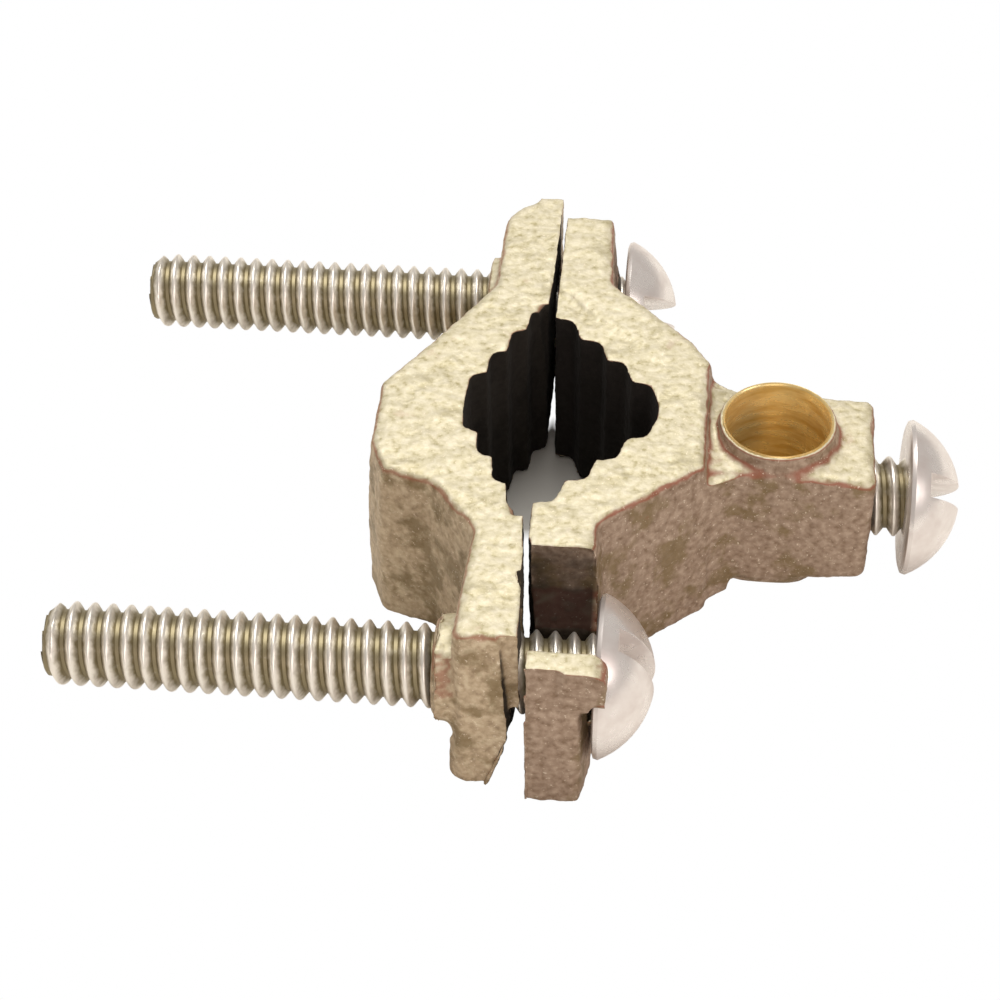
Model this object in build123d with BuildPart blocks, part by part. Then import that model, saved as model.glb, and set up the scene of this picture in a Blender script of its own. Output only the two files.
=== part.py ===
# Two-screw earth rod clamp: two cast bronze jaws, two clamp screws and a conductor set screw.
# Frame: origin on the rod axis where the jaws meet, at the flat underside; +X towards the lug,
# +Y towards the far screw, +Z up along the rod. Millimetres.
import os
from math import cos, radians, sin

from build123d import *

os.makedirs("parts", exist_ok=True)

# Castings
casting_height = 12.2
mid_height = casting_height / 2
draft_angle = 4.5
rim_radius = 0.7
base_radius = 0.4
corner_radius = 1.2
jaw_gap = 0.25
threaded_face_x = 0.0
lug_face_x = threaded_face_x + jaw_gap
cut_margin = 1.0

# Screws: number 10, 24 threads to the inch, slotted round head
screw_spacing = 32.0
screw_y = screw_spacing / 2
thread_major = 4.83
screw_length = 31.75
head_diameter = 9.1
head_height = 3.35
head_rim = 0.35
slot_width = 1.45
slot_depth = 2.1
tip_chamfer = 0.6
tap_clearance = 0.05
screw_hole_clearance = 0.25
near_head_x = 4.65
far_head_x = 4.45
near_slot_angle = 79
far_slot_angle = 46
set_slot_angle = 55

# Rod opening: serrated vees, each tooth a land, a root and the next tip along its flank
threaded_mouth_half = 9.0
lug_mouth_half = 8.4
threaded_vee_depth = 4.2
lug_vee_depth = 6.75
vee_root_half = 0.65
tooth_depth = 0.65
teeth_per_flank = 4
tooth_land = 0.1
tooth_root = 0.45

# Threaded jaw
near_end_y = -19.6
far_end_y = 20.4
far_end_radius = 3.0
ear_back_x = -3.75
near_ear_root = (-3.4, -10.7)
near_shoulder = (-5.9, -7.6)
nose_shoulder = (-8.9, -6.7)
nose_x = -9.95
nose_near_y = -3.9
nose_far_y = 1.6
far_ear_back_x = -4.15
far_ear_root_y = 11.4
boss_radius = 3.35
boss_back_x = -4.55
boss_root = 1.5

# Lug jaw
lug_near_end_y = -20.3
lug_far_end_y = 19.2
lug_ear_x = 4.6
near_block_corner = (4.9, -9.8)
far_block_corner = (9.3, 7.1)
far_ear_root = (4.2, 12.2)
far_ear_end_x = 3.8
lug_back_x = 10.75
lug_back_half = 4.9
prong_face_x = 4.2
prong_height = 11.2
prong_inner_y = -18.5
near_relief_x = 0.85
near_relief_run = 1.5
slot_wall_y = -11.9
slot_ledge_z = mid_height + 2.6
slot_side_z = mid_height + 0.6
lip_face_x = 5.4
lip_bottom_z = mid_height + 1.6
lip_inset = 0.1
lip_clearance = 0.12

# Worn strip beside the vee, deepest at the mating face
strip_depth = 0.3
strip_reach = 7.3
strip_far_y = 11.4
strip_turn = (1.2, 10.4)
strip_tip_y = 4.1
strip_near = (6.6, 1.0)
strip_near_y = 8.0

# Conductor hub
hub_end_x = 20.3
hub_width = 7.7
hub_top_z = 10.95
hub_bottom_z = 1.1
hub_corner_radius = 1.4
hub_sink = 2.5
flare_reach = 0.7
flare_spread = 0.6
wire_hole_x = 14.3
wire_hole_radius = 3.15
collar_wall = 0.33
collar_top_z = 11.85
set_screw_gap = 1.9
set_tip_clearance = 0.25

tapped_radius = thread_major / 2 + tap_clearance
clear_radius = thread_major / 2 + screw_hole_clearance
head_clearance_radius = head_diameter / 2 + lip_clearance
far_seat_radius = head_diameter / 2 + screw_hole_clearance
far_seat_sink = 0.15
far_seat_x = far_head_x - far_seat_sink
collar_radius = wire_hole_radius + collar_wall
hub_height = hub_top_z - hub_bottom_z
hub_mid_z = (hub_top_z + hub_bottom_z) / 2
set_head_x = hub_end_x + set_screw_gap
set_tip_x = wire_hole_x + wire_hole_radius + set_tip_clearance
set_screw_length = set_head_x - set_tip_x


def vee_teeth(face_x, root_x, mouth_half, side):
    """Cut the tooth gaps along one flank of a vee in the open sketch."""
    start = Vector(face_x, side * mouth_half)
    flank = Vector(root_x, side * vee_root_half) - start
    outward = Vector(1 if root_x > face_x else -1, side).normalized() * tooth_depth
    for tooth in range(teeth_per_flank):
        tip = start + flank * ((tooth + tooth_land) / teeth_per_flank)
        root = start + flank * ((tooth + tooth_root) / teeth_per_flank) + outward
        next_tip = start + flank * ((tooth + 1) / teeth_per_flank)
        Polygon(tip, root, next_tip, align=None)


def vee_profile(face_x, root_x, mouth_half):
    """Draw the serrated vee of one jaw, open past its mating face."""
    past_x = face_x - cut_margin if root_x > face_x else face_x + cut_margin
    Polygon(
        (past_x, mouth_half),
        (face_x, mouth_half),
        (root_x, vee_root_half),
        (root_x, -vee_root_half),
        (face_x, -mouth_half),
        (past_x, -mouth_half),
        align=None,
    )
    vee_teeth(face_x, root_x, mouth_half, 1)
    vee_teeth(face_x, root_x, mouth_half, -1)


def screw_profile(length):
    """Draw half of a screw: domed head, shank over the thread crests, chamfered tip."""
    crest = thread_major / 2
    head_radius = head_diameter / 2
    dome = head_height - head_rim
    sphere = (head_radius**2 + dome**2) / (2 * dome)
    shoulder = head_radius / 2
    shoulder_x = -head_height + sphere - (sphere**2 - shoulder**2) ** 0.5
    with BuildLine() as half_outline:
        ThreePointArc((-head_height, 0), (shoulder_x, shoulder), (-head_rim, head_radius))
        Polyline(
            (-head_rim, head_radius),
            (0, head_radius - head_rim),
            (0, crest),
            (length - tip_chamfer, crest),
            (length, crest - tip_chamfer),
            (length, 0),
            (-head_height, 0),
        )
    make_face(half_outline.edges())


def screw_plane(head_x, y):
    """Plane through a screw's axis: x towards the tip, y up."""
    return Plane(origin=(head_x, y, mid_height), x_dir=(-1, 0, 0), z_dir=(0, 1, 0))


def cut_driver_slot(head_x, y, angle):
    """Cut the driver slot across the crown of the head in the open part."""
    crown = Plane(
        origin=(head_x + head_height, y, mid_height),
        x_dir=(0, -cos(radians(angle)), sin(radians(angle))),
        z_dir=(1, 0, 0),
    )
    with BuildSketch(crown) as slot:
        Rectangle(head_diameter + cut_margin, slot_width)
    extrude(slot.sketch, amount=-slot_depth, mode=Mode.SUBTRACT)


def cast_body(outline):
    """Raise the outline with drafted walls above the parting plane and plain walls below it."""
    parting = Plane.XY.offset(mid_height)
    extrude(amount=mid_height)
    walls = faces().filter_by(Axis.Z, reverse=True)
    draft(walls, parting, draft_angle)
    fillet(faces().sort_by(Axis.Z)[-1].edges(), rim_radius)
    extrude(outline, amount=-mid_height)
    fillet(faces().sort_by(Axis.Z)[0].edges(), base_radius)


# Threaded jaw: nosed block with an ear each side
with BuildPart() as threaded_jaw:
    with BuildSketch(Plane.XY.offset(mid_height)) as threaded_outline:
        with BuildLine():
            Polyline(
                (threaded_face_x, near_end_y),
                (ear_back_x, near_end_y),
                near_ear_root,
                near_shoulder,
                nose_shoulder,
                (nose_x, nose_near_y),
                (nose_x, nose_far_y),
                (far_ear_back_x, far_ear_root_y),
                (far_ear_back_x, far_end_y),
                (threaded_face_x, far_end_y),
                close=True,
            )
        make_face()
        back_corners = threaded_outline.vertices().group_by(Axis.Y)[-1].sort_by(Axis.X)[0]
        fillet(back_corners, far_end_radius)
        rounded = threaded_outline.vertices().filter_by(
            lambda v: v.X < threaded_face_x - cut_margin and v.Y < far_end_y - far_end_radius - cut_margin
        )
        fillet(rounded, corner_radius)
    cast_body(threaded_outline.sketch)
    with BuildSketch(Plane.YZ.offset(boss_back_x)):
        with Locations((-screw_y, mid_height), (screw_y, mid_height)):
            Circle(boss_radius)
    extrude(amount=boss_root)
    with BuildSketch(Plane.XY):
        vee_profile(threaded_face_x, threaded_face_x - threaded_vee_depth, threaded_mouth_half)
    extrude(amount=casting_height, mode=Mode.SUBTRACT)
    with BuildSketch(Plane.YZ):
        with Locations((-screw_y, mid_height), (screw_y, mid_height)):
            Circle(tapped_radius)
    extrude(amount=nose_x, mode=Mode.SUBTRACT)
threaded_jaw.part.label = "threaded_jaw"

# Lug jaw: block, plain ear, slotted ear and conductor hub in one casting
with BuildPart() as lug_jaw:
    with BuildSketch(Plane.XY.offset(mid_height)) as lug_outline:
        with BuildLine():
            Polyline(
                (lug_face_x - cut_margin, lug_near_end_y),
                (prong_face_x, lug_near_end_y),
                (lug_ear_x, prong_inner_y),
                near_block_corner,
                (lug_back_x, -lug_back_half),
                (lug_back_x, lug_back_half),
                far_block_corner,
                far_ear_root,
                (far_ear_end_x, lug_far_end_y),
                (lug_face_x - cut_margin, lug_far_end_y),
                close=True,
            )
        make_face()
        fillet(lug_outline.vertices().filter_by(lambda v: v.X > far_ear_end_x - cut_margin), corner_radius / 2)
    cast_body(lug_outline.sketch)
    # Conductor hub with its raised wire collar
    with BuildSketch(Plane.YZ.offset(lug_back_x - hub_sink)) as hub_section:
        with Locations((0, hub_mid_z)):
            Rectangle(hub_width, hub_height)
        fillet(hub_section.vertices().group_by(Axis.Y)[0], hub_corner_radius)
        fillet(hub_section.vertices().group_by(Axis.Y)[-1], rim_radius)
    extrude(amount=hub_end_x - lug_back_x + hub_sink)
    fillet(lug_jaw.faces().sort_by(Axis.X)[-1].edges(), rim_radius)
    # Flared root where the hub meets the block
    for step in (-1, 0, 1):
        with BuildSketch(Plane.YZ.offset(lug_back_x + step * flare_reach)) as flare_section:
            spread = flare_spread * ((1 - step) / 2) ** 2 * 2
            with Locations((0, hub_mid_z)):
                Rectangle(hub_width + spread, hub_height + spread / 2)
            fillet(flare_section.vertices(), hub_corner_radius / 2)
    loft(ruled=True)
    with BuildSketch(Plane.XY.offset(mid_height)):
        with Locations((wire_hole_x, 0)):
            Circle(collar_radius)
    extrude(amount=collar_top_z - mid_height)
    # Lip that the near head sits behind
    with BuildSketch(Plane.XZ.offset(-prong_inner_y)) as lip_side:
        with Locations((prong_face_x, (prong_height + lip_bottom_z) / 2)):
            Rectangle((lip_face_x - prong_face_x) * 2, prong_height - lip_bottom_z)
        fillet(lip_side.vertices().group_by(Axis.X)[-1], corner_radius)
    extrude(amount=prong_inner_y - lug_near_end_y - lip_inset)
    # Open slot for the near screw
    with BuildSketch(Plane.YZ):
        with BuildLine():
            Polyline(
                (slot_wall_y, casting_height + cut_margin),
                (slot_wall_y, slot_ledge_z),
                (-screw_y + clear_radius, slot_side_z),
                (-screw_y + clear_radius, mid_height),
            )
            ThreePointArc(
                (-screw_y + clear_radius, mid_height),
                (-screw_y, mid_height - clear_radius),
                (-screw_y - clear_radius, mid_height),
            )
            Polyline(
                (-screw_y - clear_radius, mid_height),
                (prong_inner_y, casting_height + cut_margin),
                (slot_wall_y, casting_height + cut_margin),
            )
        make_face()
    extrude(amount=lip_face_x + cut_margin, mode=Mode.SUBTRACT)
    # Prong stands lower than the body
    with BuildSketch(Plane.XY.offset(prong_height)):
        with Locations((lip_face_x / 2, lug_near_end_y)):
            Rectangle(lip_face_x * 2, (slot_wall_y - lug_near_end_y) * 2)
    extrude(amount=casting_height, mode=Mode.SUBTRACT)
    # Seats for the screw heads
    with BuildSketch(Plane.YZ.offset(lug_ear_x)):
        with Locations((-screw_y, mid_height)):
            Circle(head_clearance_radius)
    extrude(amount=head_height, mode=Mode.SUBTRACT)
    with BuildSketch(Plane.YZ.offset(far_seat_x)):
        with Locations((screw_y, mid_height)):
            Circle(far_seat_radius)
    extrude(amount=head_height, mode=Mode.SUBTRACT)
    # Mating face, with the slotted ear relieved behind it
    split(bisect_by=Plane.YZ.offset(lug_face_x), keep=Keep.TOP)
    with BuildSketch(Plane.XY):
        Polygon(
            (lug_face_x, slot_wall_y + cut_margin),
            (near_relief_x, slot_wall_y - near_relief_run),
            (near_relief_x, lug_near_end_y - cut_margin),
            (lug_face_x - cut_margin, lug_near_end_y - cut_margin),
            (lug_face_x - cut_margin, slot_wall_y + cut_margin),
            align=None,
        )
    extrude(amount=casting_height, mode=Mode.SUBTRACT)
    # Serrated vee and the worn strip beside it, which fades out away from the mating face
    with BuildSketch(Plane.XY):
        vee_profile(lug_face_x, lug_face_x + lug_vee_depth, lug_mouth_half)
    extrude(amount=casting_height, mode=Mode.SUBTRACT)
    worn = Plane(
        origin=(0, 0, casting_height - strip_depth),
        x_dir=(strip_reach, 0, strip_depth),
        z_dir=(-strip_depth, 0, strip_reach),
    )
    with BuildSketch(worn):
        Polygon(
            (-cut_margin, strip_far_y),
            strip_turn,
            (strip_reach, strip_tip_y),
            strip_near,
            (-cut_margin, strip_near_y),
            align=None,
        )
    extrude(amount=casting_height, mode=Mode.SUBTRACT)
    # Far screw hole, wire hole and set screw hole
    with BuildSketch(Plane.YZ):
        with Locations((screw_y, mid_height)):
            Circle(clear_radius)
    extrude(amount=lug_back_x, mode=Mode.SUBTRACT)
    with BuildSketch(Plane.XY):
        with Locations((wire_hole_x, 0)):
            Circle(wire_hole_radius)
    extrude(amount=casting_height, mode=Mode.SUBTRACT)
    with BuildSketch(Plane.YZ.offset(wire_hole_x)):
        with Locations((0, mid_height)):
            Circle(tapped_radius)
    extrude(amount=hub_end_x, mode=Mode.SUBTRACT)
lug_jaw.part.label = "lug_jaw"

# Clamp screws and conductor set screw
with BuildPart() as near_screw:
    with BuildSketch(screw_plane(near_head_x, -screw_y)):
        screw_profile(screw_length)
    revolve(axis=Axis((near_head_x, -screw_y, mid_height), (1, 0, 0)))
    cut_driver_slot(near_head_x, -screw_y, near_slot_angle)
near_screw.part.label = "near_screw"

with BuildPart() as far_screw:
    with BuildSketch(screw_plane(far_head_x, screw_y)):
        screw_profile(screw_length)
    revolve(axis=Axis((far_head_x, screw_y, mid_height), (1, 0, 0)))
    cut_driver_slot(far_head_x, screw_y, far_slot_angle)
far_screw.part.label = "far_screw"

with BuildPart() as set_screw:
    with BuildSketch(screw_plane(set_head_x, 0)):
        screw_profile(set_screw_length)
    revolve(axis=Axis((set_head_x, 0, mid_height), (1, 0, 0)))
    cut_driver_slot(set_head_x, 0, set_slot_angle)
set_screw.part.label = "set_screw"

for piece in (threaded_jaw, lug_jaw, near_screw, far_screw, set_screw):
    export_step(piece.part, f"parts/{piece.part.label}.step")
    print(piece.part.label, round(piece.part.volume, 1), len(piece.part.solids()), piece.part.bounding_box())
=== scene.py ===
import math

import bpy
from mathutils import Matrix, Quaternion, Vector


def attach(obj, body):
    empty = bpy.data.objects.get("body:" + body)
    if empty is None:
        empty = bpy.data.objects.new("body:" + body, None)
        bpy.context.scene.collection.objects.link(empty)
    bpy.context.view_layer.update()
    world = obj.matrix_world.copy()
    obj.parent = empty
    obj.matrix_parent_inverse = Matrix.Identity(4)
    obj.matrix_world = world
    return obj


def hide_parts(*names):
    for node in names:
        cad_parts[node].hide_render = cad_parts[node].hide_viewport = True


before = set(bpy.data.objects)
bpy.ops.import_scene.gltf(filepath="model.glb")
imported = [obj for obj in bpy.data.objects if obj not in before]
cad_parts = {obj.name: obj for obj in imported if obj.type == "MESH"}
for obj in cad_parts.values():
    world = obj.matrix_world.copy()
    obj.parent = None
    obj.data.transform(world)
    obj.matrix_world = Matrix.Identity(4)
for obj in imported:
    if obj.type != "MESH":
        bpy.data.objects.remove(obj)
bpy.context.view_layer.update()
mm = 0.001
midHeight = 6.1  # mm, parting plane of the castings and axis of every screw
screwY = 16  # mm, the clamp screws are this far to each side of the rod's axis
hubX = 14.3  # mm, axis of the wire hole
midZ = midHeight * mm
sameSpot = 0.001 * mm  # vertices nearer than this are one


def fromHex(text):
    parts = [int(text[i:i + 2], 16) / 255 for i in (0, 2, 4)]
    return [c / 12.92 if c <= 0.04045 else ((c + 0.055) / 1.055) ** 2.4 for c in parts] + [1]


# each input takes a value, a hex colour or another node's output
def feed(tree, node, inputs):
    for name, source in inputs.items():
        if isinstance(source, bpy.types.NodeSocket):
            tree.links.new(source, node.inputs[name])
        else:
            node.inputs[name].default_value = fromHex(source) if isinstance(source, str) else source


# stops are the places and colours of a colour ramp
def addNode(tree, kind, settings={}, inputs={}, stops=()):
    node = tree.nodes.new("ShaderNode" + kind)
    for name, value in settings.items():
        setattr(node, name, value)
    feed(tree, node, inputs)
    for number, (place, colour) in enumerate(stops):
        if number == len(node.color_ramp.elements):
            node.color_ramp.elements.new(place)
        node.color_ramp.elements[number].position = place
        node.color_ramp.elements[number].color = fromHex(colour)
    return node.outputs


def newMaterial(name):
    mat = bpy.data.materials.new(name)
    mat.use_nodes = True
    return mat, mat.node_tree, mat.node_tree.nodes["Principled BSDF"]


def onlyActive(obj):
    if bpy.context.object and bpy.context.object.mode != 'OBJECT':
        bpy.ops.object.mode_set(mode='OBJECT')
    bpy.ops.object.select_all(action='DESELECT')
    bpy.context.view_layer.objects.active = obj
    obj.select_set(True)


def applyModifier(obj, kind, **settings):
    onlyActive(obj)
    modifier = obj.modifiers.new(kind.lower(), kind)
    for name, value in settings.items():
        setattr(modifier, name, value)
    bpy.ops.object.modifier_apply(modifier=modifier.name)


def settle(obj):
    onlyActive(obj)
    bpy.ops.object.transform_apply(location=True, rotation=True, scale=True)


def setMaterial(obj, material):
    obj.data.materials.clear()
    obj.data.materials.append(material)


def dress(piece, body, node=None):
    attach(piece, body)
    if node:
        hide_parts(node)


print("stage: materials")

# mm: a diamond round the rod's axis, from the axis to its corners; full and gone are shares of that size
openingShape = {"alongEars": 9.2, "lugSide": 7.4, "threadedSide": 4.5, "full": 1.2, "gone": 1.34}


# 1 inside the opening and 0 on the outer walls
def insideOpening(tree, x, y, shape):
    earCorner, lugCorner, noseCorner = (shape[key] * mm for key in ("alongEars", "lugSide", "threadedSide"))
    across = addNode(tree, "Math", {"operation": 'ABSOLUTE'}, {0: y})["Value"]
    across = addNode(tree, "Math", {"operation": 'DIVIDE'}, {0: across, 1: earCorner})["Value"]
    lugWay = addNode(tree, "Math", {"operation": 'DIVIDE'}, {0: x, 1: lugCorner})["Value"]
    noseWay = addNode(tree, "Math", {"operation": 'DIVIDE'}, {0: x, 1: -noseCorner})["Value"]
    along = addNode(tree, "Math", {"operation": 'MAXIMUM'}, {0: lugWay, 1: noseWay})["Value"]
    reach = addNode(tree, "Math", {"operation": 'ADD'}, {0: across, 1: along})["Value"]
    fade = {"From Min": shape["full"], "From Max": shape["gone"], "To Min": 1, "To Max": 0}
    return addNode(tree, "MapRange", {}, {"Value": reach, **fade})["Result"]


# full within one distance of the centre and gone at the next, all in mm
def band(tree, value, centre, near, gone, full):
    offset = addNode(tree, "Math", {"operation": 'SUBTRACT'}, {0: value, 1: centre * mm})["Value"]
    away = addNode(tree, "Math", {"operation": 'ABSOLUTE'}, {0: offset})["Value"]
    fade = {"From Min": near * mm, "From Max": gone * mm, "To Min": full, "To Max": 0}
    return addNode(tree, "MapRange", {}, {"Value": away, **fade})["Result"]


# sand-cast bronze with painted light: tops painted pale and walls painted darker by which way they face,
# copper-red round the rims, painted glints and painted shade in the hollows
threadedLook = {
    "top": ((0.25, "A69C76"), (0.42, "C9C1A3"), (0.68, "DAD3BC")),
    "dulledTop": "A69C76",
    "wall": ((0.25, "9C886E"), (0.48, "BEAA8E"), (0.70, "D2C2A6")),
    "olive": "7A6640",
    "copper": "94523C",
    # painted highlight colour of the glints
    "glint": "F2E6D2",
    # painted shade colour, near black, for the opening, the parting line and the screw's slot
    "paintedShade": "060403",
    "grainSize": 0.42,  # mm, moulding sand
    "glintSize": 0.16,  # mm
    "patchSize": 2.4,  # mm
    "bump": 0.4,
    "bumpDepth": 0.12,  # mm
    # how much of each shows, over which part of the noise
    "dulledPatches": {"From Min": 0.53, "From Max": 0.66, "To Max": 0.5},
    "olivePatches": {"From Min": 0.50, "From Max": 0.60, "To Max": 0.75},
    "glintSpecks": {"From Min": 0.66, "From Max": 0.72, "To Max": 0.6},
    "sheen": {"From Min": 0.35, "From Max": 0.65, "To Min": 0.6, "To Max": 0.45},
    "metal": {"To Min": 0.3, "To Max": 0},  # none left under full painted shade
    # over how steep a face the painted-shade walls turn to the painted-light top, with the copper between
    # them
    "ragged": {"From Min": 0.3, "From Max": 0.7, "To Min": -0.2, "To Max": 0.2},
    "topFrom": {"From Min": 0.55, "From Max": 0.85},
    "copperFrom": {"From Min": 0.3, "From Max": 0.5},
    "copperTo": {"From Min": 0.6, "From Max": 0.85, "To Min": 0.55, "To Max": 0},
    # where the painted shade lies: centre, full to, gone at (mm), how much
    "partingLine": (0.15, 0.7, 0.9, 1),
    "slotAlongEar": (-15.1, 3.3, 3.5, 0.8),
    "slotAcrossEar": (2.3, 1.8, 2.1, 1),
    "upright": {"From Min": 0.6, "From Max": 0.85},
    "farEar": {"From Min": 17.5 * mm, "From Max": 19 * mm, "To Min": 0.93, "To Max": 0},
    "slotMouth": {"From Min": 10.9 * mm, "From Max": 11.9 * mm, "To Min": 1, "To Max": 0.5},
    "notOnTop": {"From Min": 0.35, "From Max": 0.65, "To Min": 0.97, "To Max": 0},
}
# the lug jaw's copy: its walls painted darker still as painted shade, and more copper round its rims
lugLook = dict(threadedLook, wall=((0.25, "806852"), (0.48, "9E8875"), (0.70, "B6A18E")),
               copperTo=dict(threadedLook["copperTo"], **{"To Min": 0.7}))


def castBronze(name, look):
    mat, tree, shader = newMaterial(name)
    place = addNode(tree, "TexCoord")["Object"]
    spot = addNode(tree, "SeparateXYZ", {}, {"Vector": place})
    x, y, z = spot["X"], spot["Y"], spot["Z"]
    facing = addNode(tree, "SeparateXYZ", {}, {"Vector": addNode(tree, "NewGeometry")["Normal"]})
    sand = {"Vector": place, "Scale": 1 / (look["grainSize"] * mm), "Detail": 3}
    grain = addNode(tree, "TexNoise", {}, sand)["Fac"]
    blots = {"Vector": place, "Scale": 1 / (look["patchSize"] * mm), "Detail": 5, "Roughness": 0.6}
    patch = addNode(tree, "TexNoise", {}, blots)["Fac"]

    # tops painted pale: painted light on the faces turned up
    litTopSkin = addNode(tree, "ValToRGB", {}, {"Fac": grain}, look["top"])["Color"]
    dulled = addNode(tree, "MapRange", {}, {"Value": patch, **look["dulledPatches"]})["Result"]
    topMix = {"Factor": dulled, "A": litTopSkin, "B": look["dulledTop"]}
    litTopSkin = addNode(tree, "Mix", {"data_type": 'RGBA'}, topMix)["Result"]
    # walls painted darker: painted shade on the faces turned sideways
    shadedWallSkin = addNode(tree, "ValToRGB", {}, {"Fac": grain}, look["wall"])["Color"]
    oliveShare = addNode(tree, "MapRange", {}, {"Value": patch, **look["olivePatches"]})["Result"]
    wallMix = {"Factor": oliveShare, "A": shadedWallSkin, "B": look["olive"]}
    shadedWallSkin = addNode(tree, "Mix", {"data_type": 'RGBA'}, wallMix)["Result"]

    # the patches make the line between wall and top ragged
    shift = addNode(tree, "MapRange", {}, {"Value": patch, **look["ragged"]})["Result"]
    ragged = addNode(tree, "Math", {"operation": 'ADD'}, {0: facing["Z"], 1: shift})["Value"]
    litTopShare = addNode(tree, "MapRange", {}, {"Value": ragged, **look["topFrom"]})["Result"]
    # rims: thin skin shows the copper
    rimStart = addNode(tree, "MapRange", {}, {"Value": ragged, **look["copperFrom"]})["Result"]
    rimEnd = addNode(tree, "MapRange", {}, {"Value": ragged, **look["copperTo"]})["Result"]
    rim = addNode(tree, "Math", {"operation": 'MULTIPLY'}, {0: rimStart, 1: rimEnd})["Value"]
    # painted glints: small bright specks that stand in for highlights on the sand
    glintNoise = {"Vector": place, "Scale": 1 / (look["glintSize"] * mm), "Detail": 2}
    glintNoise = addNode(tree, "TexNoise", {}, glintNoise)["Fac"]
    glint = addNode(tree, "MapRange", {}, {"Value": glintNoise, **look["glintSpecks"]})["Result"]

    # painted shade in the rod's opening and along the parting line between the ears
    sideways = addNode(tree, "Math", {"operation": 'ABSOLUTE'}, {0: facing["X"]})["Value"]
    sideways = addNode(tree, "MapRange", {}, {"Value": sideways, **look["upright"]})["Result"]
    partingBand = band(tree, x, *look["partingLine"])
    parting = addNode(tree, "Math", {"operation": 'MULTIPLY'}, {0: sideways, 1: partingBand})["Value"]
    farEnd = addNode(tree, "MapRange", {}, {"Value": y, **look["farEar"]})["Result"]
    parting = addNode(tree, "Math", {"operation": 'MULTIPLY'}, {0: parting, 1: farEnd})["Value"]
    opening = insideOpening(tree, x, y, openingShape)
    paintedShadeShare = addNode(tree, "Math", {"operation": 'MAXIMUM'}, {0: opening, 1: parting})["Value"]
    below = addNode(tree, "MapRange", {}, {"Value": facing["Z"], **look["notOnTop"]})["Result"]
    paintedShadeShare = addNode(tree, "Math", {"operation": 'MULTIPLY'}, {0: paintedShadeShare, 1: below})["Value"]
    # painted shade in the near screw's slot, half of it gone at the mouth
    slotAlong = band(tree, y, *look["slotAlongEar"])
    slotAcross = band(tree, x, *look["slotAcrossEar"])
    screwSlot = addNode(tree, "Math", {"operation": 'MULTIPLY'}, {0: slotAlong, 1: slotAcross})["Value"]
    mouth = addNode(tree, "MapRange", {}, {"Value": z, **look["slotMouth"]})["Result"]
    screwSlot = addNode(tree, "Math", {"operation": 'MULTIPLY'}, {0: screwSlot, 1: mouth})["Value"]
    paintedShadeShare = addNode(tree, "Math", {"operation": 'MAXIMUM'}, {0: paintedShadeShare, 1: screwSlot})["Value"]

    colour = shadedWallSkin
    layers = [(litTopShare, litTopSkin), (rim, look["copper"]), (glint, look["glint"]), (paintedShadeShare, look["paintedShade"])]
    for share, layer in layers:
        over = {"Factor": share, "A": colour, "B": layer}
        colour = addNode(tree, "Mix", {"data_type": 'RGBA'}, over)["Result"]
    sheen = addNode(tree, "MapRange", {}, {"Value": patch, **look["sheen"]})["Result"]
    relief = {"Height": grain, "Strength": look["bump"], "Distance": look["bumpDepth"] * mm}
    feed(tree, shader, {
        "Base Color": colour,
        "Roughness": addNode(tree, "Math", {"operation": 'MAXIMUM'}, {0: sheen, 1: paintedShadeShare})["Value"],
        "Metallic": addNode(tree, "MapRange", {}, {"Value": paintedShadeShare, **look["metal"]})["Result"],
        "Normal": addNode(tree, "Bump", {}, relief)["Normal"],
    })
    return mat


threadedBronze = castBronze("sandCastBronze", threadedLook)
lugBronze = castBronze("sandCastBronzeLugShadedWalls", lugLook)

# bronze bored bright: golden, fine rings from the drill
boredLook = {
    "colours": ((0.35, "D8B66E"), (0.6, "F6DFA4")),
    "sheen": {"From Min": 0.3, "From Max": 0.7, "To Min": 0.34, "To Max": 0.24},
    "metal": 0.6,
    "markSize": 0.5,  # mm, height of the rings
    "markStretch": (0.2, 0.2, 1),
    "detail": 4,
    "bump": 0.2,
    "bumpDepth": 0.08,  # mm
}
# bright steel, burnished on the heads: pale, with a soft glare
headLook = {
    "colours": ((0.3, "E0D8D5"), (0.6, "F2EEEC")),
    "sheen": {"From Min": 0.3, "From Max": 0.7, "To Min": 0.34, "To Max": 0.24},
    "metal": 0.75,
    "markSize": 1.6,  # mm
    "markStretch": (1, 1, 1),
    "detail": 3,
    "bump": 0.05,
    "bumpDepth": 0.05,  # mm
}


# smooth metal whose faint marks change its colour and sheen
def markedMetal(name, look):
    mat, tree, shader = newMaterial(name)
    place = addNode(tree, "TexCoord")["Object"]
    place = addNode(tree, "Mapping", {}, {"Vector": place, "Scale": look["markStretch"]})["Vector"]
    marks = {"Vector": place, "Scale": 1 / (look["markSize"] * mm), "Detail": look["detail"]}
    marks = addNode(tree, "TexNoise", {}, marks)["Fac"]
    relief = {"Height": marks, "Strength": look["bump"], "Distance": look["bumpDepth"] * mm}
    feed(tree, shader, {
        "Base Color": addNode(tree, "ValToRGB", {}, {"Fac": marks}, look["colours"])["Color"],
        "Roughness": addNode(tree, "MapRange", {}, {"Value": marks, **look["sheen"]})["Result"],
        "Metallic": look["metal"],
        "Normal": addNode(tree, "Bump", {}, relief)["Normal"],
    })
    return mat


bored = markedMetal("boredBronze", boredLook)
headSteel = markedMetal("burnishedHeadSteel", headLook)

# bright steel with rolled threads: smoother crests and rougher roots, coloured from painted shade in the
# roots to painted highlight on the crests
threadLook = {
    "root": "91876C",
    "crest": "F4F0E8",
    "rootRadius": 2.0,  # mm
    "crestRadius": 2.36,
    "wander": 0.1,  # mm, how far the marks move the line between them
    "sheen": {"To Min": 0.46, "To Max": 0.36},
    "metal": 0.85,
    "markSize": 0.5,  # mm
    "bump": 0.08,
    "bumpDepth": 0.05,  # mm
}


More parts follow.
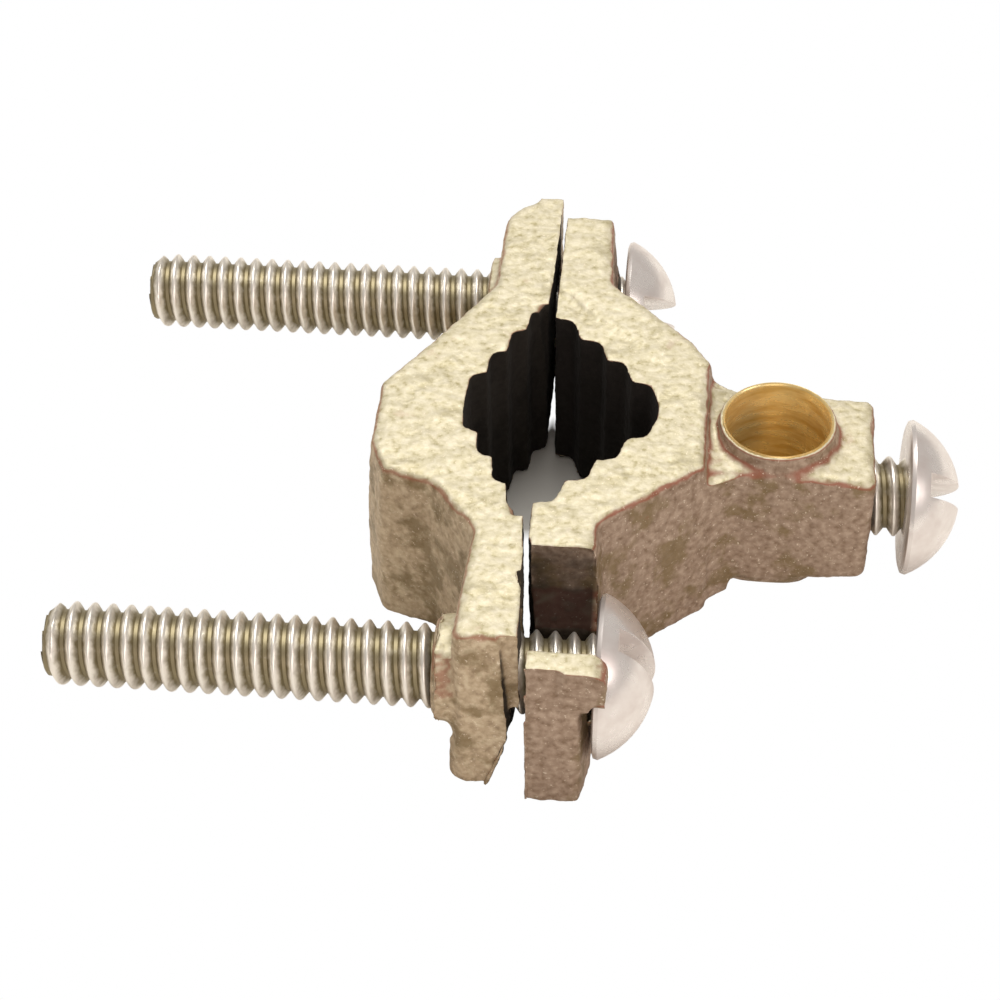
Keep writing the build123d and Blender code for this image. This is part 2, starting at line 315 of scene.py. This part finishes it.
def threadSteel(name, look):
    mat, tree, shader = newMaterial(name)
    place = addNode(tree, "TexCoord")["Object"]
    spot = addNode(tree, "SeparateXYZ", {}, {"Vector": place})
    # the clamp screws and the set screw are evenly spaced, so this is each one's own radius
    across = addNode(tree, "Math", {"operation": 'PINGPONG'}, {0: spot["Y"], 1: screwY / 2 * mm})["Value"]
    up = addNode(tree, "Math", {"operation": 'SUBTRACT'}, {0: spot["Z"], 1: midZ})["Value"]
    across = addNode(tree, "Math", {"operation": 'MULTIPLY'}, {0: across, 1: across})["Value"]
    up = addNode(tree, "Math", {"operation": 'MULTIPLY'}, {0: up, 1: up})["Value"]
    radius = addNode(tree, "Math", {"operation": 'ADD'}, {0: across, 1: up})["Value"]
    radius = addNode(tree, "Math", {"operation": 'SQRT'}, {0: radius})["Value"]
    marks = {"Vector": place, "Scale": 1 / (look["markSize"] * mm), "Detail": 3}
    marks = addNode(tree, "TexNoise", {}, marks)["Fac"]
    furthest = look["wander"] * mm
    wander = {"From Min": 0.3, "From Max": 0.7, "To Min": -furthest, "To Max": furthest}
    shift = addNode(tree, "MapRange", {}, {"Value": marks, **wander})["Result"]
    radius = addNode(tree, "Math", {"operation": 'ADD'}, {0: radius, 1: shift})["Value"]
    flank = {"From Min": look["rootRadius"] * mm, "From Max": look["crestRadius"] * mm}
    depth = addNode(tree, "MapRange", {}, {"Value": radius, **flank})["Result"]
    # root to crest: painted shade in the grooves to painted highlight on the crests
    colours = ((0, look["root"]), (1, look["crest"]))
    relief = {"Height": marks, "Strength": look["bump"], "Distance": look["bumpDepth"] * mm}
    feed(tree, shader, {
        "Base Color": addNode(tree, "ValToRGB", {}, {"Fac": depth}, colours)["Color"],
        "Roughness": addNode(tree, "MapRange", {}, {"Value": depth, **look["sheen"]})["Result"],
        "Metallic": look["metal"],
        "Normal": addNode(tree, "Bump", {}, relief)["Normal"],
    })
    return mat


rolledSteel = threadSteel("rolledThreadSteel", threadLook)

print("stage: castings")

castSettings = {
    "voxel": 0.17,  # mm
    "smoothing": 4,  # rounds over the voxels' steps
    "relief": ((1.7, 0.14), (0.75, 0.13), (0.35, 0.05)),  # mm, size and depth of the sand's marks
    "crust": (0.9, 0.45),  # mm, the same for the rough boss by the near screw
    "fade": 0.4,  # mm, from a smooth bore to the sand's marks
}


# 0 up to the start, rising to 1 over the length
def ramp(value, start, length):
    return max(0, min(1, (value - start) / length))


def drawLine(name, points):
    bpy.ops.object.select_all(action='DESELECT')
    bpy.ops.mesh.primitive_plane_add(size=mm, location=(0, 0, 0))
    obj = bpy.context.object
    obj.name = name
    bpy.ops.object.mode_set(mode='EDIT')
    bpy.ops.mesh.select_all(action='SELECT')
    bpy.ops.mesh.merge(type='CENTER')
    bpy.ops.transform.translate(value=points[0])
    here = Vector(points[0])
    for point in points[1:]:
        bpy.ops.mesh.extrude_vertices_move(TRANSFORM_OT_translate={"value": Vector(point) - here})
        here = Vector(point)
    bpy.ops.object.mode_set(mode='OBJECT')
    return obj


def raisedOutline(name, corners, low, high):
    obj = drawLine(name, [(x * mm, y * mm, low * mm) for x, y in corners + corners[:1]])
    bpy.ops.object.mode_set(mode='EDIT')
    bpy.ops.mesh.select_all(action='SELECT')
    bpy.ops.mesh.remove_doubles(threshold=sameSpot)
    bpy.ops.mesh.edge_face_add()
    bpy.ops.mesh.extrude_region_move(TRANSFORM_OT_translate={"value": (0, 0, (high - low) * mm)})
    bpy.ops.mesh.select_all(action='SELECT')
    bpy.ops.mesh.normals_make_consistent(inside=False)
    bpy.ops.object.mode_set(mode='OBJECT')
    return obj


# a cast piece: the plain shape and its additions as one skin, formed, smoothed and marked by the sand
def castSkin(nodeName, pieceName, material, additions, form, keepClear, crustAt, look):
    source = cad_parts[nodeName]
    piece = source.copy()
    piece.data = source.data.copy()
    piece.name = pieceName
    bpy.context.scene.collection.objects.link(piece)
    onlyActive(piece)
    bpy.ops.object.mode_set(mode='EDIT')
    bpy.ops.mesh.select_all(action='SELECT')
    bpy.ops.mesh.remove_doubles(threshold=sameSpot)
    bpy.ops.object.mode_set(mode='OBJECT')
    for corners, low, high in additions:
        extra = raisedOutline("addition", corners, low, high)
        onlyActive(piece)
        extra.select_set(True)
        bpy.ops.object.join()
    applyModifier(piece, 'REMESH', mode='VOXEL', voxel_size=look["voxel"] * mm, use_smooth_shade=True)
    for vert in piece.data.vertices:
        vert.co = form(vert.co / mm) * mm
    applyModifier(piece, 'SMOOTH', factor=0.5, iterations=look["smoothing"])
    rough = piece.vertex_groups.new(name="rough")
    crust = piece.vertex_groups.new(name="crust")
    for vert in piece.data.vertices:
        clear = min([ramp(reach(vert.co), radius * mm, look["fade"] * mm) for reach, radius in keepClear])
        rough.add([vert.index], clear, 'REPLACE')
        crust.add([vert.index], clear * crustAt(vert.co), 'REPLACE')
    marks = [(size, depth, 2, "rough") for size, depth in look["relief"]] + [(*look["crust"], 3, "crust")]
    for size, depth, detail, group in marks:
        cloud = bpy.data.textures.new(pieceName + "Cloud", 'CLOUDS')
        cloud.noise_scale = size * mm
        cloud.noise_depth = detail
        applyModifier(piece, 'DISPLACE', texture=cloud, texture_coords='LOCAL', strength=depth * mm,
                      mid_level=1, vertex_group=group)
    setMaterial(piece, material)
    return piece


def fromAxisX(y):
    return lambda co: math.hypot(co.y - y * mm, co.z - midZ)


def fromAxisZ(x):
    return lambda co: math.hypot(co.x - x * mm, co.y)


# mm: where the crust lies, on the boss round the near screw and, thinner, on the slotted ear's lower prong
crustPlaces = {"bossRadius": 4, "bossRoot": -3.4, "prongRoot": -18.5, "prongFace": 4.3, "prongShare": 0.2}


def nearBoss(co):
    onBoss = 1 - ramp(fromAxisX(-screwY)(co), crustPlaces["bossRadius"] * mm, 1 * mm)
    return onBoss * (1 - ramp(co.x, crustPlaces["bossRoot"] * mm, 0.6 * mm))


def nearProng(co):
    onProng = 1 - ramp(co.y, crustPlaces["prongRoot"] * mm, 0.6 * mm)
    return crustPlaces["prongShare"] * onProng * (1 - ramp(co.x, crustPlaces["prongFace"] * mm, 0.5 * mm))


# mm: lands on the upper half of the mating face, where the ears meet; they stay above the screws' holes
landRoot = -1.6
landTop = 12.18
aboveHole = 8.7
threadedLands = [
    ([(landRoot, -9.3), (0.14, -9.3), (0.2, -10.9), (0.36, -12), (0.43, -13.5), (landRoot, -13.5)],
     midHeight, landTop),
    ([(landRoot, -13.4), (0.42, -13.4), (0.66, -18.5), (landRoot, -18.5)], aboveHole, landTop),
    ([(landRoot, -18.45), (0.66, -18.45), (0.68, -18.9), (landRoot, -18.9)], midHeight, landTop),
    ([(landRoot, 9.3), (0.05, 9.3), (0.17, 11.5), (0.17, 13.5), (landRoot, 13.5)], midHeight, landTop),
    ([(landRoot, 13.4), (0.17, 13.4), (0.17, 18.6), (landRoot, 18.6)], aboveHole, landTop),
    ([(landRoot, 18.5), (0.17, 18.5), (0.17, 20.2), (landRoot, 20.2)], midHeight, landTop),
]
# mm: the block flares into the hub at each side of it
flareBottom = 0.7
flareTop = 10.6
hubFlare = [
    ([(9.9, -5.1), (12.1, -3.84), (12.1, -3.3), (9.9, -3.3)], flareBottom, flareTop),
    ([(9.9, 3.3), (12.1, 3.3), (12.1, 3.84), (9.9, 5.1)], flareBottom, flareTop),
]
# mm: how far the castings go past their plain shapes
threadedGrowth = {
    "nose": 0.2,
    "farEar": 0.3,
    "rubbedFrom": 14,  # the rubbed corner's start along the near ear, its length, depth and rise
    "rubbedLength": 5.6,
    "rubbedDepth": 1.4,
    "rubbedRise": 2,
}
lugGrowth = {
    "ears": 0.4,
    "blockSide": 0.2,
    "lip": 0.2,
    "hubUnder": 1.0,  # underside of the hub's end, up
    "hubTop": 0.25,  # its top, down
    "hubWidening": 0.05,  # share of its width
}


def threadedForm(co):
    grow = threadedGrowth
    co.x -= grow["nose"] * ramp(-co.x, 6, 3.5)
    co.y += grow["farEar"] * ramp(co.y, 18.9, 1.3)
    # corner rubbed off below the near land, deepest at the underside
    along = (-co.y - grow["rubbedFrom"]) / grow["rubbedLength"]
    if along > 0:
        co.x = min(co.x, -along * (grow["rubbedDepth"] - grow["rubbedRise"] * co.z / midHeight))
    return co


def lugForm(co):
    grow = lugGrowth
    co.y += grow["ears"] * (ramp(co.y, 18.7, 0.5) - ramp(-co.y, 19, 1))
    co.x += grow["blockSide"] * ramp(co.y, 4, 2.5) * ramp(co.x, 2.5, 1) * (1 - ramp(co.x, 10.8, 0.5))
    co.x += grow["lip"] * ramp(-co.y, 18.6, 0.4) * ramp(co.x, 4.2, 0.8) * ramp(co.z, 6, 2.5)
    # hub narrows underneath and widens a little towards its end, clear of the wire hole
    along = ramp(co.x, 11.5, 8.5) * ramp(math.hypot(co.x - hubX, co.y), 3.5, 0.5)
    up = ramp(co.z, 1, 9.5)
    co.z += along * (grow["hubUnder"] * (1 - up) - grow["hubTop"] * up)
    co.y *= 1 + grow["hubWidening"] * along
    return co


# mm: the bores that stay smooth, a little past their walls
threadedBores = [(fromAxisX(-screwY), 2.55), (fromAxisX(screwY), 2.55)]
lugBores = [(fromAxisX(screwY), 2.75), (fromAxisZ(hubX), 3.55)]

threadedSkin = castSkin("threaded_jaw", "threadedJawSkin", threadedBronze, threadedLands, threadedForm,
                        threadedBores, nearBoss, castSettings)
dress(threadedSkin, "threaded_jaw", "threaded_jaw")

lugSkin = castSkin("lug_jaw", "lugJawSkin", lugBronze, hubFlare, lugForm, lugBores, nearProng, castSettings)
dress(lugSkin, "lug_jaw", "lug_jaw")
print("castings", len(threadedSkin.data.polygons), len(lugSkin.data.polygons))


def cleanShell(obj):
    onlyActive(obj)
    bpy.ops.object.mode_set(mode='EDIT')
    bpy.ops.mesh.select_all(action='SELECT')
    bpy.ops.mesh.remove_doubles(threshold=2 * sameSpot)
    bpy.ops.mesh.normals_make_consistent(inside=False)
    bpy.ops.object.mode_set(mode='OBJECT')


def spin(obj, axis, steps, **settings):
    applyModifier(obj, 'SCREW', axis=axis, steps=steps, render_steps=steps, use_merge_vertices=True,
                  merge_threshold=sameSpot, **settings)
    cleanShell(obj)


def cutAway(obj, cutter):
    applyModifier(obj, 'BOOLEAN', object=cutter, operation='DIFFERENCE', solver='EXACT')
    bpy.data.objects.remove(cutter)


print("stage: wire hole")

collarSettings = {
    "inner": 3.12,  # mm, radius of the bored wall
    "outer": 3.34,
    "top": 11.9,
    "shoulder": 10.5,
    "bottom": 1.35,
    "lip": 0.08,
    "liner": 0.02,  # thickness below the shoulder, where the casting is the wall
    "setHole": 2.46,  # radius of the set screw's hole
    "steps": 96,
}


def makeCollar(look):
    inner, outer, lip = look["inner"] * mm, look["outer"] * mm, look["lip"] * mm
    top, shoulder, bottom = look["top"] * mm, look["shoulder"] * mm, look["bottom"] * mm
    liner = inner + look["liner"] * mm
    rim = [(inner, top - 2 * lip), (inner + lip, top - lip / 2), (inner + 2 * lip, top),
           (outer - lip, top - lip / 2), (outer, top - 2 * lip)]
    outline = [(liner, bottom), (inner, bottom), *rim, (outer, shoulder), (liner, shoulder)]
    outline.append(outline[0])
    collar = drawLine("wireCollar", [(radius, 0, height) for radius, height in outline])
    spin(collar, 'Z', look["steps"])
    # the set screw's hole, from the axis out through the wall
    reach = 6 * mm
    bpy.ops.object.select_all(action='DESELECT')
    bpy.ops.mesh.primitive_cylinder_add(vertices=64, radius=look["setHole"] * mm, depth=reach,
                                        location=(reach / 2, 0, midZ), rotation=(0, math.radians(90), 0))
    drill = bpy.context.object
    settle(drill)
    cutAway(collar, drill)
    collar.location = (hubX * mm, 0, 0)
    settle(collar)
    onlyActive(collar)
    bpy.ops.object.shade_smooth_by_angle(angle=math.radians(40))
    setMaterial(collar, bored)
    dress(collar, "lug_jaw")


makeCollar(collarSettings)

print("stage: screws")

screwSettings = {
    "pitch": 25.4 / 24,  # mm
    "major": 4.83,
    "minor": 3.85,
    "flankBend": 0.35,  # share of the thread's depth where the root's curve ends
    "crestRound": 0.04,
    "tipChamfer": 0.6,
    "threadIntoHead": 0.4,
    "coreIntoHead": 0.3,
    "coreInset": 0.12,  # edge of the tip's flat end, inside the thread's roots
    "headWidth": 9.4,
    "headHeight": 3.35,
    "underEdge": (0.35, 0.1, 0.08),  # rounding of the head's seat: inwards, up, and inwards there
    "rim": 0.35,
    "slotWidth": 1.45,
    "slotDepth": 2.1,
    "bevel": 0.06,
    "stepsPerTurn": 48,
    "domeSteps": 12,
}
# mm: seat of the head along X, the screw's own axis, length under the head
# degrees: turn of the driver's slot
nearPlace = {"headX": 4.65, "y": -screwY, "length": 31.35, "slotAngle": 79}
farPlace = {"headX": 4.45, "y": screwY, "length": 31.45, "slotAngle": 46}
setPlace = {"headX": 22.2, "y": 0, "length": 4.5, "slotAngle": 55}


# the thread, cut to length at both ends and chamfered at the tip
def threadedRod(name, tip, length, look):
    major, minor, pitch = look["major"] / 2 * mm, look["minor"] / 2 * mm, look["pitch"] * mm
    bend, shoulder = minor + look["flankBend"] * (major - minor), major - look["crestRound"] * mm
    # one pitch of flank, as shares of the pitch, then screwed along X
    rising = [(0, minor), (0.09, minor), (0.20, bend), (0.40, shoulder), (0.46, major)]
    flank = rising + [(1 - share, radius) for share, radius in reversed(rising)]
    rod = drawLine(name, [(share * pitch, 0, radius) for share, radius in flank])
    turns = int(length / look["pitch"]) + 3  # some to spare at both ends
    spin(rod, 'X', look["stepsPerTurn"], screw_offset=pitch, iterations=turns)
    onlyActive(rod)
    start = 1.05 * pitch  # past the first turn's open edge
    bpy.ops.object.mode_set(mode='EDIT')
    bpy.ops.mesh.select_all(action='SELECT')
    bpy.ops.mesh.bisect(plane_co=(start, 0, 0), plane_no=(1, 0, 0), use_fill=True, clear_inner=True)
    bpy.ops.mesh.select_all(action='SELECT')
    end = start + (length + look["threadIntoHead"]) * mm
    bpy.ops.mesh.bisect(plane_co=(end, 0, 0), plane_no=(1, 0, 0), use_fill=True, clear_outer=True)
    bpy.ops.mesh.select_all(action='SELECT')
    bpy.ops.mesh.normals_make_consistent(inside=False)
    bpy.ops.object.mode_set(mode='OBJECT')
    # crests cut down to a cone at the tip
    for vert in rod.data.vertices:
        allowed = major - look["tipChamfer"] * mm + max(0, vert.co.x - start)
        here = math.hypot(vert.co.y, vert.co.z)
        if here > allowed:
            vert.co.y *= allowed / here
            vert.co.z *= allowed / here
    rod.location = (tip - start, 0, 0)
    settle(rod)
    return rod


# a dome on a rounded rim, with the driver's slot cut across it
def slottedHead(headX, slotAngle, look):
    radius, rise = look["headWidth"] / 2, look["headHeight"] - look["rim"]
    sphere = (radius ** 2 + rise ** 2) / (2 * rise)
    widest = math.asin(radius / sphere)
    centre = headX + look["headHeight"] - sphere
    seatEdge, edgeUp, edgeIn = look["underEdge"]
    outline = [(headX, 0), (headX, radius - seatEdge), (headX + edgeUp, radius - edgeIn)]
    outline.append((headX + look["rim"], radius))
    for step in range(1, look["domeSteps"] + 1):
        turn = widest * (1 - step / look["domeSteps"])
        outline.append((centre + sphere * math.cos(turn), sphere * math.sin(turn)))
    head = drawLine("head", [(x * mm, 0, r * mm) for x, r in outline])
    spin(head, 'X', 96)
    slotFloor = headX + look["headHeight"] - look["slotDepth"]
    tall, long = 4, 12  # mm, the cutter reaches past the head all round
    bpy.ops.object.select_all(action='DESELECT')
    bpy.ops.mesh.primitive_cube_add(size=1, location=((slotFloor + tall / 2) * mm, 0, 0),
                                    rotation=(math.radians(-slotAngle), 0, 0),
                                    scale=(tall * mm, long * mm, look["slotWidth"] * mm))
    cutter = bpy.context.object
    settle(cutter)
    cutAway(head, cutter)
    return head


def makeScrew(body, pieceName, place, look):
    tip = (place["headX"] - place["length"]) * mm
    rod = threadedRod(pieceName, tip, place["length"], look)
    # solid core at the thread's roots, which closes the tip with its flat end
    root, hair = look["minor"] / 2 * mm, 0.01 * mm
    face, coreEnd = tip - hair, (place["headX"] + look["coreIntoHead"]) * mm
    outline = [(face, 0), (face, root - look["coreInset"] * mm), (tip + 0.1 * mm, root + hair)]
    outline += [(coreEnd, root + hair), (coreEnd, 0)]
    core = drawLine("core", [(x, 0, radius) for x, radius in outline])
    spin(core, 'X', 48)
    head = slottedHead(place["headX"], place["slotAngle"], look)
    setMaterial(rod, rolledSteel)
    setMaterial(core, rolledSteel)
    setMaterial(head, headSteel)
    onlyActive(rod)
    core.select_set(True)
    head.select_set(True)
    bpy.ops.object.join()
    rod.location = (0, place["y"] * mm, midZ)
    settle(rod)
    applyModifier(rod, 'BEVEL', width=look["bevel"] * mm, segments=2, limit_method='ANGLE',
                  angle_limit=math.radians(50))
    onlyActive(rod)
    bpy.ops.object.shade_smooth_by_angle(angle=math.radians(35))
    dress(rod, body, body)
    print(pieceName, len(rod.data.polygons))


makeScrew("near_screw", "nearScrewBody", nearPlace, screwSettings)
makeScrew("far_screw", "farScrewBody", farPlace, screwSettings)
makeScrew("set_screw", "setScrewBody", setPlace, screwSettings)

print("stage: studio")

studio = {
    "azimuth": 6.2,  # degrees
    "elevation": 44.2,
    "roll": -1.04,
    "distance": 143.8,  # mm
    "target": (-2.11, -2.27, 6.1),
    "lens": 85.24,  # mm, on a sensor 36 mm wide
    "room": 0.6,  # strength of the light from all round
    "roomColour": "D6CEC6",
    "paper": "E6E3DD",
}
# m and W: place, aim, width, power and colour
lamps = {
    "overhead": ((-0.05, 0.2, 0.55), (0, 0, 0), 0.45, 2.7, "FFFDF8"),
    "frontFill": ((0.12, -0.6, 0.3), (0, 0, 0), 0.5, 1.15, "FFF2EC"),
    "headFill": ((0.5, -0.25, 0.35), (0.01, 0, 0), 0.35, 0.8, "FFF3EE"),
}

bpy.ops.object.select_all(action='DESELECT')
bpy.ops.mesh.primitive_plane_add(size=3, location=(0, 0, -0.02 * mm))  # just under the castings
floor = bpy.context.object
floor.name = "floor"
paper, tree, shader = newMaterial("whitePaper")
feed(tree, shader, {"Base Color": studio["paper"], "Roughness": 0.9})
# white to the camera, except in the far half of the rod's opening, where the paper shows the shade on it
spot = addNode(tree, "SeparateXYZ", {}, {"Vector": addNode(tree, "TexCoord")["Object"]})
farHalf = {"From Min": 0.5 * mm, "From Max": 1.5 * mm}
farHalf = addNode(tree, "MapRange", {}, {"Value": spot["Y"], **farHalf})["Result"]
opening = insideOpening(tree, spot["X"], spot["Y"], openingShape)
shade = addNode(tree, "Math", {"operation": 'MULTIPLY'}, {0: opening, 1: farHalf})["Value"]
lit = addNode(tree, "MapRange", {}, {"Value": shade, "To Min": 1, "To Max": 0})["Result"]
seen = addNode(tree, "LightPath")["Is Camera Ray"]
whiteShare = addNode(tree, "Math", {"operation": 'MULTIPLY'}, {0: seen, 1: lit})["Value"]
white = addNode(tree, "Emission", {}, {"Color": (1, 1, 1, 1), "Strength": 1})["Emission"]
mixed = addNode(tree, "MixShader", {}, {0: whiteShare, 1: shader.outputs["BSDF"], 2: white})["Shader"]
feed(tree, tree.nodes["Material Output"], {"Surface": mixed})
floor.data.materials.append(paper)


def areaLight(name, place, aim, size, power, colour):
    data = bpy.data.lights.new(name, 'AREA')
    data.shape = 'DISK'
    data.size = size
    data.energy = power
    data.color = fromHex(colour)[:3]
    lamp = bpy.data.objects.new(name, data)
    lamp.location = place
    lamp.rotation_euler = (Vector(place) - Vector(aim)).to_track_quat('Z', 'Y').to_euler()
    bpy.context.scene.collection.objects.link(lamp)


for name, setting in lamps.items():
    areaLight(name, *setting)

world = bpy.data.worlds.new("studioWorld")
bpy.context.scene.world = world
world.use_nodes = True
tree = world.node_tree
room = tree.nodes["Background"]
feed(tree, room, {"Color": studio["roomColour"], "Strength": studio["room"]})
seen = addNode(tree, "LightPath")["Is Camera Ray"]
white = addNode(tree, "Background", {}, {"Color": (1, 1, 1, 1), "Strength": 1})["Background"]
mixed = addNode(tree, "MixShader", {}, {0: seen, 1: room.outputs["Background"], 2: white})["Shader"]
feed(tree, tree.nodes["World Output"], {"Surface": mixed})

azimuth, elevation = math.radians(studio["azimuth"]), math.radians(studio["elevation"])
level = math.cos(elevation)
back = Vector((math.sin(azimuth) * level, -math.cos(azimuth) * level, math.sin(elevation)))
camData = bpy.data.cameras.new("camera")
camData.lens = studio["lens"]
camData.sensor_width = 36
camData.clip_start = 0.01
camera = bpy.data.objects.new("camera", camData)
camera.location = Vector(studio["target"]) * mm + back * studio["distance"] * mm
camera.rotation_mode = 'QUATERNION'
roll = Quaternion((0, 0, 1), math.radians(studio["roll"]))
camera.rotation_quaternion = back.to_track_quat('Z', 'Y') @ roll
bpy.context.scene.collection.objects.link(camera)
bpy.context.scene.camera = camera
bpy.context.scene.view_settings.view_transform = 'Standard'
